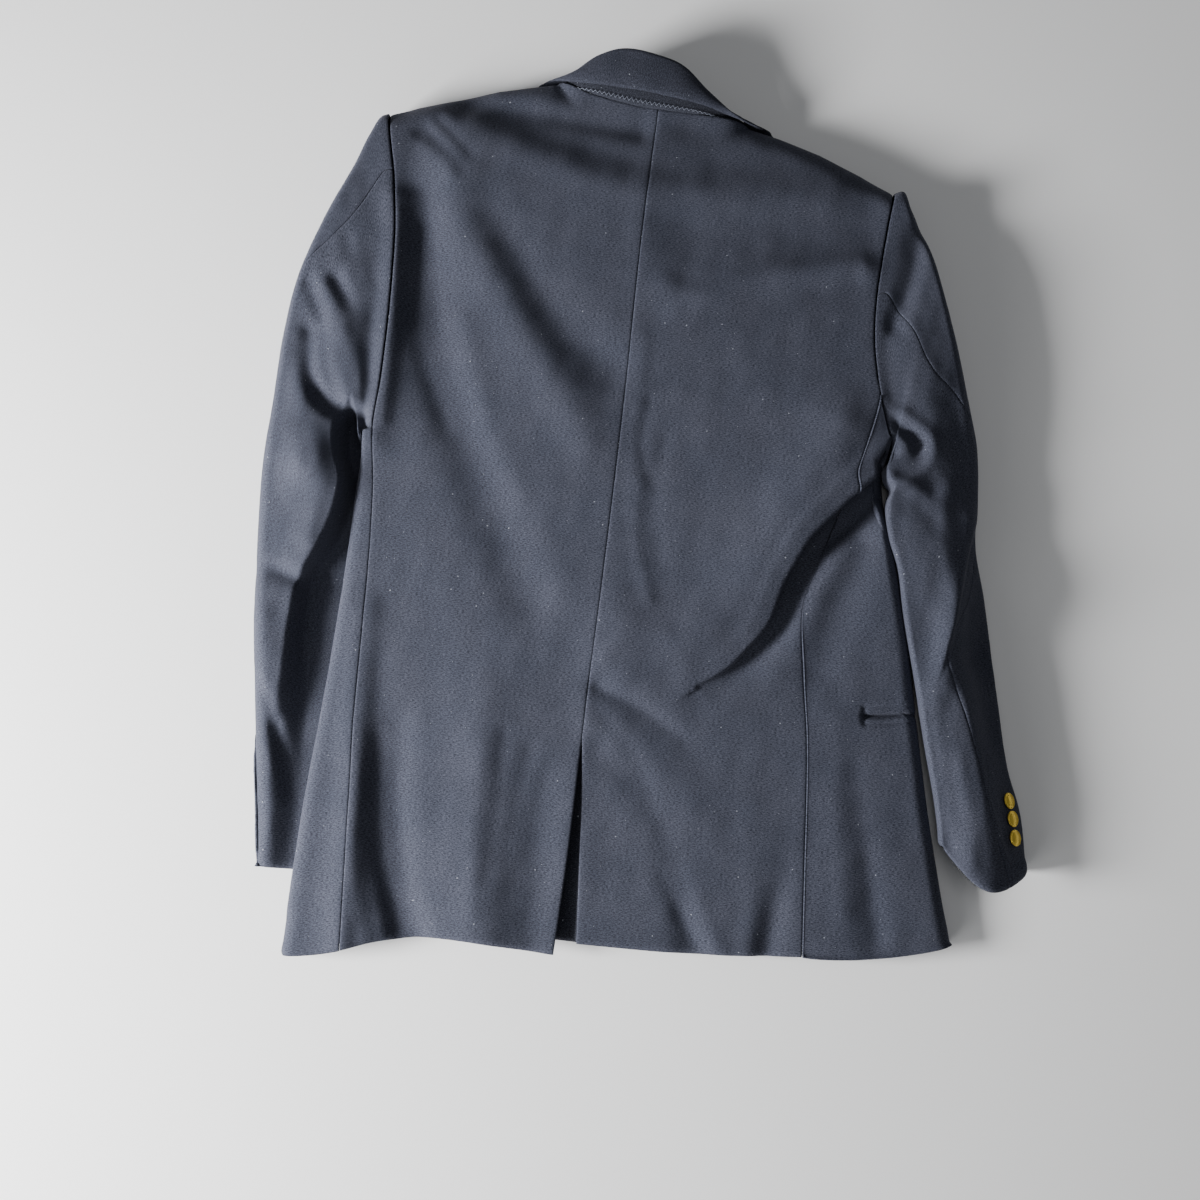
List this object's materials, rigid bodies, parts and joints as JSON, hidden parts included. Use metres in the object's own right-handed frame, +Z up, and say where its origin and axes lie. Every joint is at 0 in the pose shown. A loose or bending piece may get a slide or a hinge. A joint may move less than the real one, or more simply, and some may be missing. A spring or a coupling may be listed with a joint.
{
  "type": "blazer",
  "caption": "Navy wool blazer laid flat face down: open centre vent, two-piece sleeves, turned collar and gilt metal buttons",
  "frame": {"origin": "middle of the garment's footprint, on the surface it lies on", "axes": "+Y runs up the centre-back seam to the collar, +X to the wearer's right, +Z up, out of the back"},
  "size_m": [0.7004, 0.8332, 0.0451],
  "materials": {
    "back_left": "brushed melange wool weave",
    "back_right": "brushed melange wool weave",
    "side_left": "brushed melange wool weave",
    "side_right": "brushed melange wool weave",
    "front_left": "brushed melange wool weave",
    "front_right": "brushed melange wool weave",
    "lapel_left": "brushed melange wool weave",
    "lapel_right": "brushed melange wool weave",
    "collar_fall": "brushed melange wool weave",
    "collar_stand": "brushed melange wool weave",
    "sleeve_top_left": "brushed melange wool weave",
    "sleeve_under_left": "brushed melange wool weave",
    "sleeve_top_right": "brushed melange wool weave",
    "sleeve_under_right": "brushed melange wool weave",
    "pocket_welt_right_upper": "brushed melange wool weave",
    "pocket_welt_right_lower": "brushed melange wool weave",
    "pocket_welt_left_upper": "brushed melange wool weave",
    "pocket_welt_left_lower": "brushed melange wool weave",
    "cuff_button_right_1": "polished gilt",
    "cuff_button_right_2": "polished gilt",
    "cuff_button_right_3": "polished gilt",
    "cuff_button_left_1": "polished gilt",
    "cuff_button_left_2": "polished gilt",
    "cuff_button_left_3": "polished gilt",
    "front_button_1": "polished gilt",
    "front_button_2": "polished gilt"
  },
  "bodies": {
    "root": {"back_left": "back_left", "back_right": "back_right", "side_left": "side_left", "side_right": "side_right", "front_left": "front_left", "front_right": "front_right", "lapel_left": "lapel_left", "lapel_right": "lapel_right", "collar_fall": "collar_fall", "collar_stand": "collar_stand", "sleeve_top_left": "sleeve_top_left", "sleeve_under_left": "sleeve_under_left", "sleeve_top_right": "sleeve_top_right", "sleeve_under_right": "sleeve_under_right", "pocket_welt_right_upper": "pocket_welt_right_upper", "pocket_welt_right_lower": "pocket_welt_right_lower", "pocket_welt_left_upper": "pocket_welt_left_upper", "pocket_welt_left_lower": "pocket_welt_left_lower", "cuff_button_right_1": "cuff_button_right_1", "cuff_button_right_2": "cuff_button_right_2", "cuff_button_right_3": "cuff_button_right_3", "cuff_button_left_1": "cuff_button_left_1", "cuff_button_left_2": "cuff_button_left_2", "cuff_button_left_3": "cuff_button_left_3", "front_button_1": "front_button_1", "front_button_2": "front_button_2"}
  },
  "joints": []
}
